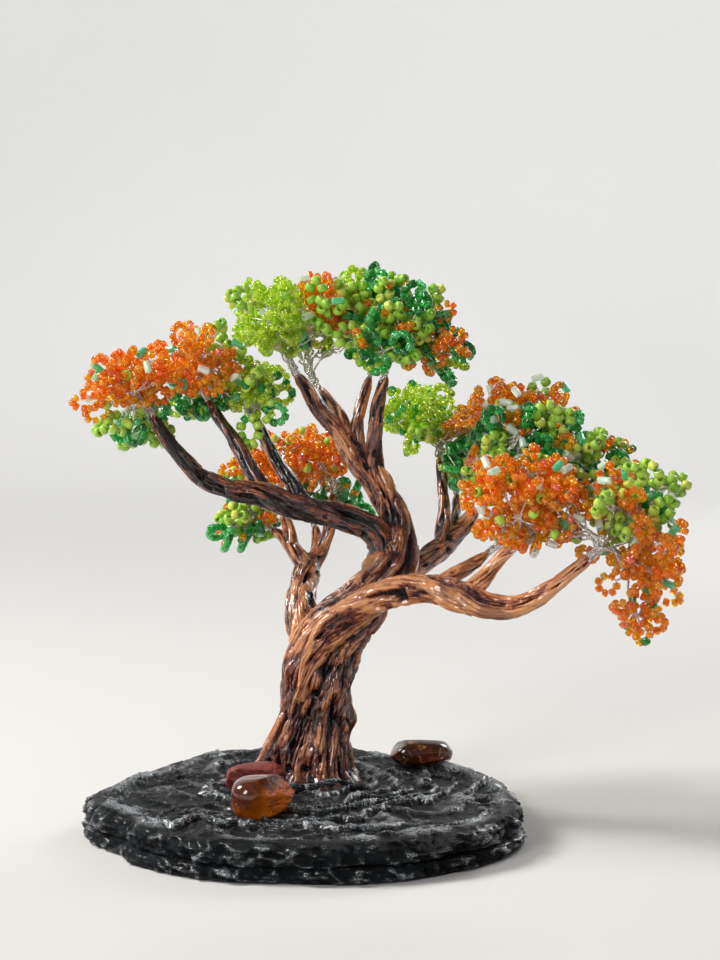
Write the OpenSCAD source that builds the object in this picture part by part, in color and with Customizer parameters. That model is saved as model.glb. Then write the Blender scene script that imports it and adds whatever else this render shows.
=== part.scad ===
// Beaded wire tree with a modelled clay trunk on a dark irregular slab.
// Units are millimetres, +Z is up, the origin is the middle of the slab's underside.

/* [Base] */
// width of the slab, left to right
base_w = 118; // [90:1:150]
// depth of the slab, front to back
base_d = 110; // [80:1:140]
// height of the lower layer
slab_h = 4.5; // [3:0.5:8]
// height of the upper coat
coat_h = 5.5; // [3:0.5:9]
// depth of the groove between the two layers
groove = 1.2; // [0.4:0.1:2]
// height of the swirled relief above the coat
relief_h = 0.7; // [0.3:0.1:1.5]

/* [Tree] */
// height of the tree above the slab, to the top of its crown
tree_h = 143; // [110:1:180]
// thickness of the trunk and limbs against the seen ones
bark_k = 1; // [0.85:0.01:1.2]
// depth of the bark grooves as a share of the radius
groove_k = 0.14; // [0.04:0.01:0.25]
// ridges around the trunk
trunk_ridges = 11; // [7:1:14]
// ridges around each limb
limb_ridges = 4; // [3:1:6]
// ridges around each twig
twig_ridges = 3; // [3:1:5]

/* [Wire] */
// thickness of the core wire in a limb
core_d = 1.4; // [1:0.1:1.6]
// thickness of the core wire in a twig
twig_wire_d = 1.1; // [0.8:0.1:1.2]
// thickness of a twisted sprig stem
stem_d = 0.5; // [0.3:0.05:0.7]
// thickness of the wire inside a bead loop
ring_d = 0.4; // [0.2:0.05:0.5]
// thickness of the bound end of a twig
bind_d = 2.6; // [2:0.1:3.2]
// thickness of the twist where a sprig's loops meet
hub_d = 1.4; // [1:0.1:2]
// play around a core wire
play = 0.2; // [0.1:0.05:0.4]

/* [Beads] */
// outside of a small bead
small_d = 2.2; // [1.8:0.1:2.6]
// length of a small bead
small_l = 1.6; // [1.2:0.1:2]
// outside of a large opaque bead
large_d = 2.8; // [2.4:0.1:3.4]
// length of a large opaque bead
large_l = 2.1; // [1.6:0.1:2.8]
// outside of a tube bead
tube_d = 1.9; // [1.6:0.1:2.4]
// length of a tube bead
tube_l = 3.9; // [3:0.1:5]
// hole through every bead
hole_d = 0.8; // [0.7:0.05:1]
// gap between neighbouring beads
bead_gap = 0.06; // [0.04:0.01:0.2]

// most loops on one sprig
loops_n = 7; // [3:1:9]

/* [Stones] */
// length of the polished orange stone
stone_front_l = 17; // [12:0.5:22]
// length of the rough red stone
stone_red_l = 16.5; // [12:0.5:22]
// length of the dark rear stone
stone_rear_l = 19.5; // [14:0.5:24]

/* [Hidden] */
base_h = slab_h + coat_h;
foot = [1.5, 15];
grow = tree_h / 143;
orange = 0;
olive = 1;
lime = 2;
emerald = 3;
tube = 4;
hues = ["darkorange", "olivedrab", "yellowgreen", "seagreen", "honeydew"];
bark = "saddlebrown";
wire = "silver";
// radius, length and straight share of the side of each bead kind
kinds = [[small_d / 2, small_l, 0.5], [small_d / 2 - 0.05, small_l - 0.1, 0.5],
  [large_d / 2, large_l, 0.5], [small_d / 2, small_l + 0.1, 0.6], [tube_d / 2, tube_l, 0.86]];
hole_r = hole_d / 2;
core_r = core_d / 2;
twig_wire_r = twig_wire_d / 2;
stem_r = stem_d / 2;
ring_r = ring_d / 2;
bind_r = bind_d / 2;
hub_r = hub_d / 2;
hub_space = 7.5;
loop_tries = 64;
lay_r = 1.8;
tube_gap = 0.3;
void_r = lay_r + core_r + play + 0.1;
socket_z = slab_h / 2;
step_n = 2;

function unit(v) = v / norm(v);
function xyz(p) = [p[0], p[1], p[2]];
// a seen point, grown about the trunk's foot
function at(p) = [foot[0] + (p[0] - foot[0]) * grow, foot[1] + (p[1] - foot[1]) * grow,
  base_h + (p[2] - 10) * grow];
function route(pts) = [for (p = pts) concat(at(p), [p[3] * bark_k])];
function pick(p, i) = p[max(0, min(len(p) - 1, i))];
function bend(p, i, t) = 0.5 * (2 * pick(p, i) + (pick(p, i + 1) - pick(p, i - 1)) * t
  + (2 * pick(p, i - 1) - 5 * pick(p, i) + 4 * pick(p, i + 1) - pick(p, i + 2)) * t * t
  + (3 * pick(p, i) - pick(p, i - 1) - 3 * pick(p, i + 1) + pick(p, i + 2)) * t * t * t);
function smooth(p, k) = concat(
  [for (i = [0:len(p) - 2]) for (j = [0:k - 1]) bend(p, i, j / k)], [p[len(p) - 1]]);
function heading(p, i) = unit(xyz(pick(p, i + 1)) - xyz(pick(p, i - 1)));
function across(t) = unit(cross([0, 1, 0], t));
function span(a, b, p) = let (t = max(0, min(1, (p - a) * (b - a) / ((b - a) * (b - a)))))
  norm(p - a - t * (b - a));

// routes of the clay pieces: x, y, z and radius at each seen point
trunk_route = route([[1.5, 15, 10, 13.5], [1.5, 15, 14, 11.4], [1.5, 15, 22, 9.6], [3, 14, 33, 9],
  [4.5, 12.5, 43, 9.3], [8, 10.5, 51.5, 8.6], [15.5, 9, 59.5, 6.6], [22.5, 8.5, 67.5, 5.4]]);
limb_routes = [
  route([[19, 8.7, 63, 4.2], [23.5, 8.5, 70, 5], [25.2, 9.5, 77.5, 4.3], [23.5, 11.5, 86, 3.5],
    [19.5, 12.8, 93.5, 3.5], [14, 13.8, 100.5, 3.4], [9.3, 14, 107, 2.7], [3.5, 12, 114, 2.1],
    [0.6, 10, 119, 1.7], [-2, 8, 123, 1.4]]),
  route([[20, 8.6, 64.5, 3], [22.3, 8, 71, 3.4], [20.5, 7.5, 78.5, 3.4], [15, 6.5, 82.5, 3.3],
    [9.3, 5, 84.5, 3.1], [-1, 3, 87, 3], [-11.3, 2, 90.5, 2.9], [-19, 1, 91.8, 2.6],
    [-27.6, 0, 96, 2.2], [-34.5, 0, 103, 1.8], [-40.3, 0, 112, 1.4]]),
  route([[6, 10, 52, 3.2], [11.5, 3.5, 57, 3.6], [18.8, -0.5, 62, 3.6], [26.5, -4, 65.5, 3.5],
    [33, -8, 66.6, 3.4], [42.5, -14, 65, 3.5], [49, -18, 63.2, 2.8], [56.7, -20, 63.8, 2.4],
    [64.5, -22, 68.5, 1.9], [74, -25, 77.2, 1.4]]),
  route([[18.5, 9, 64, 2.6], [24, 11, 66.5, 3.2], [29.5, 15, 69, 3], [35.4, 20, 72, 2.8],
    [41, 26, 75.8, 2.5], [45.5, 30, 79.5, 2], [48.9, 34.2, 85.4, 1.4]]),
  route([[4, 13, 42, 3], [0.5, 17, 49, 4], [-2.3, 22, 56, 3.6], [-1.4, 28, 62, 3.3],
    [0.8, 33, 67.5, 2.9], [4, 36, 71, 2], [6.3, 38.5, 76.5, 1.7], [7.5, 42, 87, 1.4]])];
limb_names = ["top", "left", "right", "rear_right", "rear_left"];
// where each limb's core leaves the trunk's, and its bearing in the bundle
leave = [7, 7, 5, 7, 4];
bearing = [250, 180, 320, 30, 110];
// side twigs: owner limb and route
twigs = [
  [0, route([[13, 13.9, 102, 1.6], [10.5, 15, 109.5, 1.7], [7.6, 17, 114.2, 1.5], [4.2, 19.6, 118.6, 1.2]])],
  [0, route([[15.5, 13.6, 98.5, 1.7], [14.6, 15, 106, 1.8], [15.4, 17.3, 113, 1.5], [18, 19.8, 121.5, 1.2]])],
  [0, route([[20.5, 12.5, 92, 1.8], [19.2, 11.6, 101, 1.9], [19.8, 10, 112, 1.6], [22, 8, 122.6, 1.2]])],
  [1, route([[-9, 2.5, 89.5, 1.8], [-13.5, 4, 96, 1.9], [-17.7, 6, 103, 1.7], [-22.4, 8, 109.5, 1.5],
    [-26.1, 10, 115.6, 1.2]])],
  [1, route([[1.5, 3.3, 86.5, 1.7], [-3.5, 5.5, 94, 1.8], [-7.8, 8, 100, 1.6], [-11.7, 11, 107, 1.4],
    [-13.9, 13, 110.8, 1.2]])],
  [2, route([[40.6, -13, 65, 1.8], [47, -14, 69.5, 2], [52, -16, 76, 1.6], [55.3, -18, 78.4, 1.2]])],
  [2, route([[34.6, -8.7, 66.3, 1.7], [40, -8, 70, 1.9], [46.2, -5, 73.2, 1.5], [49.4, -2.2, 75.2, 1.2]])],
  [3, route([[38, 23, 74, 1.6], [39, 28, 80, 1.8], [39, 33, 87.5, 1.5], [38.2, 39.6, 98, 1.2]])],
  [3, route([[42, 27, 76.5, 1.4], [42.6, 32, 80.5, 1.4], [43, 36, 83, 1.3], [43.2, 39.5, 87, 1.2]])],
  [4, route([[0.4, 32, 66.5, 2], [-3, 34, 71, 2], [-6, 37, 74.5, 1.7], [-10, 39.8, 77, 1.2]])],
  [4, route([[-4.5, 35.5, 72.8, 1.5], [-5, 37.5, 76.5, 1.5], [-6, 39.3, 79.5, 1.4], [-7, 41, 82.5, 1.2]])],
  [4, route([[2.4, 34.6, 69.2, 1.5], [3, 38, 71.5, 1.5], [2.8, 41, 74, 1.3], [2.4, 43.6, 77.5, 1.2]])]];
twig_names = [for (i = [0:len(twigs) - 1])
  str(limb_names[twigs[i][0]], "_twig_", len([for (j = [0:i]) if (twigs[j][0] == twigs[i][0]) 1]))];
function twigs_of(l) = [for (i = [0:len(twigs) - 1]) if (twigs[i][0] == l) i];

// core wires, each laid beside the others up the trunk and on into its limb
function lay(l) = [for (i = [1:leave[l] - 1]) let (t = heading(trunk_route, i), u = across(t))
  xyz(trunk_route[i]) + lay_r * (cos(bearing[l]) * u + sin(bearing[l]) * cross(t, u))];
function core_path(l) = let (p = lay(l), r = limb_routes[l])
  concat([[p[0][0], p[0][1], socket_z + play]], p, [for (i = [1:len(r) - 1]) xyz(r[i])]);
// a twig's wire starts beside the core that it branches from
function host_way(i) = let (p = xyz(twigs[i][1][0]),
  c = [for (r = tips[twigs[i][0]]) if (r != twigs[i][1]) for (k = [1:len(r) - 1])
    [span(xyz(r[k - 1]), xyz(r[k]), p), unit(xyz(r[k]) - xyz(r[k - 1]))]], m = min([for (q = c) q[0]]))
  [for (q = c) if (q[0] == m) q[1]][0];
function twig_path(i) = let (r = twigs[i][1], way = unit(xyz(r[1]) - xyz(r[0])),
  skew = max(0.3, norm(cross(way, host_way(i)))))
  concat([xyz(r[0]) + (core_r + twig_wire_r + 2 * play) / skew * way], [for (j = [1:len(r) - 1]) xyz(r[j])]);
function tip_way(r) = heading(r, len(r) - 1);
function tip_knot(r) = xyz(r[len(r) - 1]) + (bind_r + 0.06) * tip_way(r);
tips = [for (l = [0:4]) concat([limb_routes[l]], [for (i = twigs_of(l)) twigs[i][1]])];
knots = [for (l = [0:4]) [for (r = tips[l]) tip_knot(r)]];

// bead tufts: limb, tip of that limb, middle, half sizes, hubs, main, second and accent kind
tufts = [
  [0, 0, [-8.4, 6, 139.6], [8.5, 10, 9], 3, olive, lime, tube],
  [0, 1, [5, 8, 141], [9, 9, 8], 3, orange, lime, tube],
  [0, 2, [18.5, 15, 140.5], [11, 11, 10.5], 4, lime, emerald, orange],
  [0, 3, [31, 10, 136], [11, 11, 11], 4, emerald, orange, lime],
  [0, 1, [2, 27, 137], [12, 7, 8], 3, olive, emerald, lime],
  [0, 3, [21, 0, 131], [9, 7, 6], 2, lime, emerald, olive],
  [1, 0, [-46.5, -2, 121.5], [12, 8, 6.5], 4, orange, orange, lime],
  [1, 0, [-44, 7, 110.5], [8, 8, 6], 2, emerald, lime, tube],
  [1, 1, [-28, 7, 125.5], [12, 10, 8], 4, orange, orange, tube],
  [1, 1, [-30, 19, 116], [8, 7, 6], 2, emerald, lime, olive],
  [1, 2, [-14.5, 14, 119], [8.5, 9, 8], 3, olive, lime, emerald],
  [2, 2, [59, 10, 113], [15, 9, 7.5], 4, orange, lime, tube],
  [2, 2, [61, -2, 104], [17, 10, 9.5], 5, lime, emerald, tube],
  [2, 1, [58.5, -21, 91.5], [16, 10, 12], 6, orange, orange, lime],
  [2, 0, [85, -16, 90], [11.5, 11, 9.5], 4, lime, orange, tube],
  [2, 0, [86.5, -26, 76], [11, 9, 10], 4, orange, orange, tube],
  [2, 0, [86, -28, 62], [6, 6, 7], 2, orange, orange, emerald],
  [2, 0, [77, 6, 98], [13, 9, 9], 3, lime, emerald, orange],
  [3, 1, [32.7, 44, 110], [10, 9, 8.5], 4, olive, lime, emerald],
  [3, 0, [45.5, 38, 97], [7, 8, 9], 3, emerald, lime, olive],
  [3, 2, [51, 42, 107], [12, 9, 7.5], 3, orange, lime, olive],
  [4, 0, [-1, 47, 97], [14, 9, 8], 4, orange, orange, lime],
  [4, 1, [-18.5, 43, 79], [8.5, 8, 6.5], 2, emerald, lime, orange],
  [4, 3, [9, 47, 84], [7.5, 6, 5.5], 2, emerald, lime, orange],
  [4, 2, [-16, 48, 93], [8, 7, 6], 2, orange, emerald, lime]];

// a sprig hub on trial: the hub, both ends of its stem and its tuft
function hub_trial(t, q) = let (f = tufts[t], d = rands(0, 1, 3, 500 * t + 3 * q + 5),
  s = 2 * d[1] - 1, e = sqrt(1 - s * s), far = 0.75 * pow(d[2], 0.4) * grow, knot = knots[f[0]][f[1]],
  mid = at(f[2]) + far * [f[3][0] * e * cos(360 * d[0]), f[3][1] * e * sin(360 * d[0]), f[3][2] * s],
  out = unit(mid - knot))
  [mid, knot + (bind_r + 0.08) * out, mid - (hub_r + 0.06) * out, t, out * tip_way(tips[f[0]][f[1]])];
function stems_hit(a, b, c, d) = len([for (i = [0:6])
  if (span(c, d, a + i / 6 * (b - a)) < stem_d + bead_gap) 1]) > 0;
function hub_clear(h, got, l) = h[4] > -0.1
  && len([for (g = got) if (norm(h[0] - g[0]) < hub_space || stems_hit(h[1], h[2], g[1], g[2])
    || stems_hit(g[1], g[2], h[1], h[2])
    || min(span(h[1], h[2], g[0]), span(g[1], g[2], h[0])) < hub_r + stem_r + bead_gap) 1]) == 0
  && bark_room(h[0], l) > 4;
function bark_room(p, l) = min([for (r = tips[l]) for (i = [max(1, len(r) - 4):len(r) - 1])
  span(xyz(r[i - 1]), xyz(r[i]), p) - r[i - 1][3]]);
function tuft_hubs(t, q, n, got) = n == 0 || q == 0 ? got : let (h = hub_trial(t, q))
  hub_clear(h, got, tufts[t][0]) ? tuft_hubs(t, q - 1, n - 1, concat(got, [h]))
    : tuft_hubs(t, q - 1, n, got);
function hubs(l, t = 0, got = []) = t >= len(tufts) ? got
  : hubs(l, t + 1, tufts[t][0] == l ? tuft_hubs(t, 240, tufts[t][4], got) : got);

// a bead loop on trial, standing out from its hub: middle, ring radius, beads, stem ends and ring axis;
// a tube bead cannot follow the ring, so it is threaded on the straight stem
reach = [for (k = kinds) max(norm([k[0], k[1] * k[2] / 2]), norm([hole_r, k[1] / 2]))];
function room(kind, n) = let (k = kinds[kind]) bead_gap
  + max(k[1] + 2 * PI * hole_r / n, k[1] * k[2] + 2 * PI * k[0] / n);
function total(v, i = 0) = i >= len(v) ? 0 : v[i] + total(v, i + 1);
function loop_trial(hub, k, q) = let (
  f = tufts[hub[3]], d = rands(0, 1, 8, 9000 + 131 * k + 977 * hub[3] + q * 17), s = 2 * d[1] - 1,
  e = sqrt(1 - s * s), out = [e * cos(360 * d[0]), e * sin(360 * d[0]), s],
  a = unit(cross(out, [0.31, 0.9, 0.27])), b = cross(out, a),
  wide = cos(360 * d[3]) * a + sin(360 * d[3]) * b,
  main = d[4] < 0.68 ? f[5] : f[6], n = (main == lime ? 6 : 7) + floor(2 * d[5]),
  odd = d[6] < 0.6 ? 1 + floor(d[7] * (n - 2)) : -1,
  tall = odd > 0 && f[7] == tube, lift = tall ? tube_l + 2 * tube_gap + kinds[main][0] : 0.6 + 1.6 * d[2],
  set = [for (i = [0:n - 1]) i == odd && !tall ? f[7] : main], gaps = [for (g = set) room(g, n)],
  run = total(gaps) + 2 * stem_d, r = run / (2 * PI), mid = hub[0] + (hub_r + lift + r) * out,
  turn = [for (i = [0:n - 1]) (total([for (j = [0:i]) gaps[j]]) - gaps[i] / 2 + stem_d) * 360 / run],
  thread = tall ? [[hub[0] + (hub_r + tube_gap + tube_l / 2) * out, out, tube]] : [],
  beads = concat(thread, [for (i = [0:n - 1]) [mid - r * cos(turn[i]) * out + r * sin(turn[i]) * wide,
    sin(turn[i]) * out + cos(turn[i]) * wide, set[i]]]))
  [mid, r, beads, hub[0] + (hub_r + 0.06) * out, mid - (r + ring_r + 0.06) * out, cross(out, wide)];
function beads_hit(a, b) = len([for (p = a[2]) for (q = b[2])
  if (norm(p[0] - q[0]) < reach[p[2]] + reach[q[2]] + bead_gap) 1]) > 0;
function wire_hit(a, c, d) = len([for (p = a[2])
  if (span(c, d, p[0]) < reach[p[2]] + stem_r + bead_gap) 1]) > 0;
function loops_hit(a, b) = norm(a[0] - b[0]) < a[1] + b[1] + 5.5
  && (beads_hit(a, b) || wire_hit(a, b[3], b[4]) || wire_hit(b, a[3], a[4])
    || stems_hit(a[3], a[4], b[3], b[4]));
function stem_hit(a, h) = span(h[1], h[2], a[0]) < a[1] + 4
  && (wire_hit(a, h[1], h[2]) || stems_hit(a[3], a[4], h[1], h[2]));
function hub_hit(a, h) = norm(a[0] - h[0]) < a[1] + 4
  && len([for (p = a[2]) if (norm(p[0] - h[0]) < reach[p[2]] + hub_r + bead_gap) 1]) > 0;
function loops_free(a, got, i) = i >= len(got) ? true
  : loops_hit(a, got[i]) ? false : loops_free(a, got, i + 1);
function hubs_free(a, all, i) = i >= len(all) ? true
  : stem_hit(a, all[i]) || hub_hit(a, all[i]) ? false : hubs_free(a, all, i + 1);
// how much nearer a point is to its own crown's tufts than to any other crown's
function home(p, l) = min([for (f = tufts) if (f[0] != l) norm(p - at(f[2]))])
  - min([for (f = tufts) if (f[0] == l) norm(p - at(f[2]))]);
function at_home(a, l) = len([for (b = a[2]) if (home(b[0], l) < 2 * reach[b[2]] + bead_gap) 1]) == 0;
function knots_free(a) = len([for (s = knots) for (k = s) if (norm(a[0] - k) < a[1] + 1.6 + bind_r) 1]) == 0;
function loop_clear(a, got, all, l) = bark_room(a[0], l) > a[1] + 1.6 && knots_free(a)
  && hubs_free(a, all, 0) && at_home(a, l) && loops_free(a, got, 0);
function fill(all, k, q, n, got, l) = n == 0 || q == 0 ? got : let (a = loop_trial(all[k], k, q))
  loop_clear(a, got, all, l) ? fill(all, k, q - 1, n - 1, concat(got, [a]), l)
    : fill(all, k, q - 1, n, got, l);
function dress(all, l, k = 0, got = []) = k >= len(all) ? got
  : dress(all, l, k + 1, fill(all, k, loop_tries, loops_n, got, l));
function crown(l) = dress(hubs(l), l);
crown_kinds = [[0, 1, 2, 3, 4], [0, 1, 2, 3, 4], [0, 2, 3, 4], [0, 1, 2, 3], [0, 2, 3]];
kind_names = ["orange", "olive", "lime", "emerald", "tube"];

// closed skin through rings of points, the rings all of one length
module skin(rings) {
  n = len(rings[0]);
  m = len(rings);
  pts = [for (r = rings) for (p = r) p];
  sides = [for (i = [0:m - 2]) for (j = [0:n - 1]) let (a = i * n + j, b = i * n + (j + 1) % n)
    each [[a, a + n, b + n], [a, b + n, b]]];
  polyhedron(pts, concat([[for (j = [0:n - 1]) j]], [[for (j = [0:n - 1]) m * n - 1 - j]], sides));
}

// ropey clay skin along a route, every third corner drawn in as a groove
function rope(p, ridges, flare) = [for (i = [0:len(p) - 1]) let (t = heading(p, i), u = across(t),
  v = cross(t, u), n = 3 * ridges, low = flare * pow(max(0, 1 - i / 6), 2))
  [for (j = [0:n - 1]) let (a = 360 * j / n + 5 * i,
    w = 0.05 * sin(137 * floor(j / 3) + 40 * i) + low * sin(150 * floor(j / 3) + 30),
    k = p[i][3] * (1 + w - (j % 3 == 0 ? groove_k : 0)))
    xyz(p[i]) + k * (cos(a) * u + sin(a) * v)]];
module rope_skin(p, ridges, flare = 0) {
  skin(rope(smooth(p, step_n), ridges, flare));
}
// a trunk foot cut flat on the slab
module trunk_skin() {
  rope_skin(trunk_route, trunk_ridges, 0.16);
}
module limb_skin(l) {
  rope_skin(limb_routes[l], limb_ridges);
}
module twig_skin(i) {
  rope_skin(twigs[i][1], twig_ridges);
}
// a path run on from its last but one point to the knot at its tip
function run_on(p, r) = concat([for (i = [0:len(p) - 2]) p[i]], [tip_knot(r)]);
// a bore along a path
module bore(p, r) {
  for (i = [0:len(p) - 2])
    hull() {
      translate(p[i]) sphere(r, $fn = 6);
      translate(p[i + 1]) sphere(r, $fn = 6);
    }
}
module core_bore(l) {
  bore(run_on(core_path(l), limb_routes[l]), core_r / cos(30) + play / 2);
}
module twig_bore(i) {
  r = twigs[i][1];
  bore(concat([xyz(r[0])], run_on(twig_path(i), r)), twig_wire_r / cos(30) + play / 2);
}
// a round wire along a path
module strand(p, r) {
  skin([for (i = [0:len(p) - 1]) let (t = heading(p, i), u = across(t), v = cross(t, u))
    [for (a = [0:60:300]) p[i] + r * (cos(a) * u + sin(a) * v)]]);
}

// outline of the slab, unit half sizes, front is -Y
edge = [[-1, -0.1], [-0.93, -0.36], [-0.78, -0.52], [-0.72, -0.7], [-0.52, -0.84], [-0.36, -0.94],
  [-0.1, -0.97], [0.1, -1], [0.3, -0.98], [0.62, -0.84], [0.86, -0.62], [1, -0.32], [0.97, -0.05],
  [0.93, 0.28], [0.76, 0.56], [0.5, 0.76], [0.26, 0.95], [0.04, 1], [-0.24, 0.98], [-0.47, 0.92],
  [-0.62, 0.7], [-0.78, 0.42], [-0.9, 0.2]];
function rim_at(z, inset) = [for (p = edge) let (r = [p[0] * base_w / 2, p[1] * base_d / 2])
  let (q = r * (1 - inset / norm(r))) [q[0], q[1], z]];
module base_slab() {
  color("dimgray")
  difference() {
    skin([rim_at(0, 1), rim_at(1, 0), rim_at(slab_h - 1.2, 0.2), rim_at(slab_h, groove)]);
    translate([trunk_route[0][0], trunk_route[0][1], socket_z])
      cylinder(r = void_r, h = slab_h, $fn = 32);
  }
}
// swirls pressed into the coat, as points on its top
swirls = [
  [[-46, -2], [-38, 10], [-26, 18], [-16, 26]], [[-40, -18], [-30, -8], [-24, 6], [-20, 14]],
  [[-30, -32], [-22, -40], [-8, -45], [8, -46], [22, -42]], [[2, -36], [12, -38], [24, -34], [34, -26]],
  [[4, -24], [14, -28], [26, -24], [34, -14], [36, -2]], [[14, -14], [24, -12], [28, -2], [26, 10]],
  [[40, -32], [48, -20], [50, -6], [48, 8]], [[42, -14], [44, 0], [40, 14], [44, 24]],
  [[-26, 42], [-12, 46], [4, 48], [16, 46]], [[-40, 22], [-34, 32], [-26, 36]],
  [[-44, -28], [-38, -34], [-32, -40]]];
module base_coat() {
  color("darkslategray")
  difference() {
    union() {
      skin([rim_at(slab_h, groove), rim_at(slab_h + 1.2, 0.2), rim_at(base_h - 1.6, 0.4),
        rim_at(base_h - 0.4, 1.6), rim_at(base_h, 3.2)]);
      for (s = swirls)
        for (i = [0:len(s) - 2])
          hull()
            for (p = [s[i], s[i + 1]])
              translate([p[0] * base_w / 118, p[1] * base_d / 110, base_h + relief_h - 1.6])
                sphere(1.6, $fn = 6);
    }
    translate([trunk_route[0][0], trunk_route[0][1], slab_h - 1])
      cylinder(r = void_r, h = coat_h + 2, $fn = 24);
  }
}

module trunk_bark() {
  color(bark)
  difference() {
    trunk_skin();
    bore([for (p = trunk_route) xyz(p)], void_r / cos(30));
    for (l = [0:4])
      core_bore(l);
  }
}
module limb_bark(l) {
  color(bark)
  difference() {
    limb_skin(l);
    trunk_skin();
    if (l == 1 || l == 3)
      limb_skin(0);
    for (k = [0, 1, 3])
      if (l == k || l == 0)
        core_bore(k);
    if (l == 2 || l == 4)
      core_bore(l);
    for (i = twigs_of(l))
      twig_bore(i);
  }
}
module twig_bark(i) {
  color(bark)
  difference() {
    twig_skin(i);
    limb_skin(twigs[i][0]);
    for (j = twigs_of(twigs[i][0]))
      if (j < i)
        twig_skin(j);
    core_bore(twigs[i][0]);
    for (j = twigs_of(twigs[i][0]))
      twig_bore(j);
  }
}
module core_wires(l) {
  color(wire) {
    strand(core_path(l), core_r);
    for (i = twigs_of(l))
      strand(twig_path(i), twig_wire_r);
  }
}

// turn the +Z axis onto a direction
module aim(p, v) {
  translate(p) rotate([0, acos(v[2] / norm(v)), atan2(v[1], v[0])]) children();
}
module bead(kind) {
  r = kinds[kind][0];
  l = kinds[kind][1];
  side = l * kinds[kind][2] / 2;
  rotate_extrude($fn = 24)
    polygon([[hole_r, -l / 2], [r, -side], [r, side], [hole_r, l / 2]]);
}
module crown_beads(l, kind) {
  color(hues[kind])
  for (b = [for (a = crown(l)) for (b = a[2]) if (b[2] == kind) b])
    aim(b[0], b[1]) bead(kind);
}
module stem(a, b) {
  aim(a, b - a) cylinder(r = stem_r, h = norm(b - a), $fn = 16);
}
module sprig_wires(l) {
  all = hubs(l);
  loops = dress(all, l);
  color(wire) {
    for (k = concat([for (k = knots[l]) [k, bind_r]], [for (h = all) [h[0], hub_r]]))
      translate(k[0]) sphere(k[1], $fn = 24);
    for (s = concat([for (h = all) [h[1], h[2]]], [for (a = loops) [a[3], a[4]]]))
      stem(s[0], s[1]);
    for (a = loops)
      aim(a[0], a[5]) rotate_extrude($fn = 32) translate([a[1], 0]) circle(ring_r, $fn = 4);
  }
}

// a water-worn lump flattened where it lies
module pebble(size, dent, seed) {
  n = 16;
  m = 9;
  lump = rands(-1, 1, 8, seed);
  skin([for (i = [0:m - 1]) let (b = -62 + 146 * i / (m - 1))
    [for (j = [0:n - 1]) let (a = 360 * j / n, k = 1 + dent * (lump[0] * sin(a + 40 * lump[1])
      + lump[2] * sin(2 * a + 90 * lump[3]) + 0.6 * lump[4] * sin(3 * a + b + 90 * lump[5])))
      [size[0] / 2 * k * cos(b) * cos(a), size[1] / 2 * k * cos(b) * sin(a),
        size[2] * (sin(b) + sin(62)) / (sin(84) + sin(62))]]]);
}
module stone_front() {
  color("orangered") translate([-9, -25, base_h]) rotate([0, 0, 12])
    pebble([stone_front_l, stone_front_l * 0.72, stone_front_l * 0.56], 0.07, 4);
}
module stone_red() {
  color("firebrick") translate([-12.5, -4, base_h]) rotate([0, 0, 8])
    pebble([stone_red_l, stone_red_l * 0.62, stone_red_l * 0.5], 0.06, 9);
}
module stone_rear() {
  color("maroon") translate([33, 33, base_h]) rotate([0, 0, -10])
    pebble([stone_rear_l, stone_rear_l * 0.6, stone_rear_l * 0.38], 0.04, 15);
}

base_slab();
base_coat();
trunk_bark();
for (l = [0:4]) limb_bark(l);
for (i = [0:len(twigs) - 1]) twig_bark(i);
for (l = [0:4]) core_wires(l);
for (l = [0:4]) sprig_wires(l);
for (l = [0:4])
  for (k = crown_kinds[l])
    crown_beads(l, k);
stone_front();
stone_red();
stone_rear();
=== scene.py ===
import math

import bmesh
import bpy
import numpy as np
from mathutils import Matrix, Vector


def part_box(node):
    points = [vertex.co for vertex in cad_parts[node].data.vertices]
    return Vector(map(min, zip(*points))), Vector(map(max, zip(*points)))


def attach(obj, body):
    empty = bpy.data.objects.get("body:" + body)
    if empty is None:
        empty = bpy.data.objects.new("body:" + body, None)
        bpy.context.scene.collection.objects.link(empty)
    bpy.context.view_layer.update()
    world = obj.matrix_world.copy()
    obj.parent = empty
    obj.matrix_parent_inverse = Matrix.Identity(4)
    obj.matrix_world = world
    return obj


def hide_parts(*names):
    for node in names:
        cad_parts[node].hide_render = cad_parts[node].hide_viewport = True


mm = 0.001
lampShare = 0.7  # how much of a lamp's light goes on through clear glass
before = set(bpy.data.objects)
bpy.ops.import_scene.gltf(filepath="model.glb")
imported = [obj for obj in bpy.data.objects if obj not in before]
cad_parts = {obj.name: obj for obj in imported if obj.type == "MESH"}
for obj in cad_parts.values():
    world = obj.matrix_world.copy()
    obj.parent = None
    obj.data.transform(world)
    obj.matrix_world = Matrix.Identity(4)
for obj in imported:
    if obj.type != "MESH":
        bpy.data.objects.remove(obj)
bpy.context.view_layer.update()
print("frame loaded with", len(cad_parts), "nodes")


# shader writing: sockets as plain expressions


class Socket:
    def __init__(self, shader, out):
        self.shader, self.out = shader, out

    def maths(self, operation, a, b=0.0):
        return self.shader.node("ShaderNodeMath", {"operation": operation}, {0: a, 1: b})

    def __add__(self, other):
        return self.maths("ADD", self, other)

    def __radd__(self, other):
        return self.maths("ADD", other, self)

    def __sub__(self, other):
        return self.maths("SUBTRACT", self, other)

    def __rsub__(self, other):
        return self.maths("SUBTRACT", other, self)

    def __mul__(self, other):
        return self.maths("MULTIPLY", self, other)

    def __rmul__(self, other):
        return self.maths("MULTIPLY", other, self)

    def clamp(self):
        return self.shader.node("ShaderNodeClamp", {}, {"Value": self})


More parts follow.
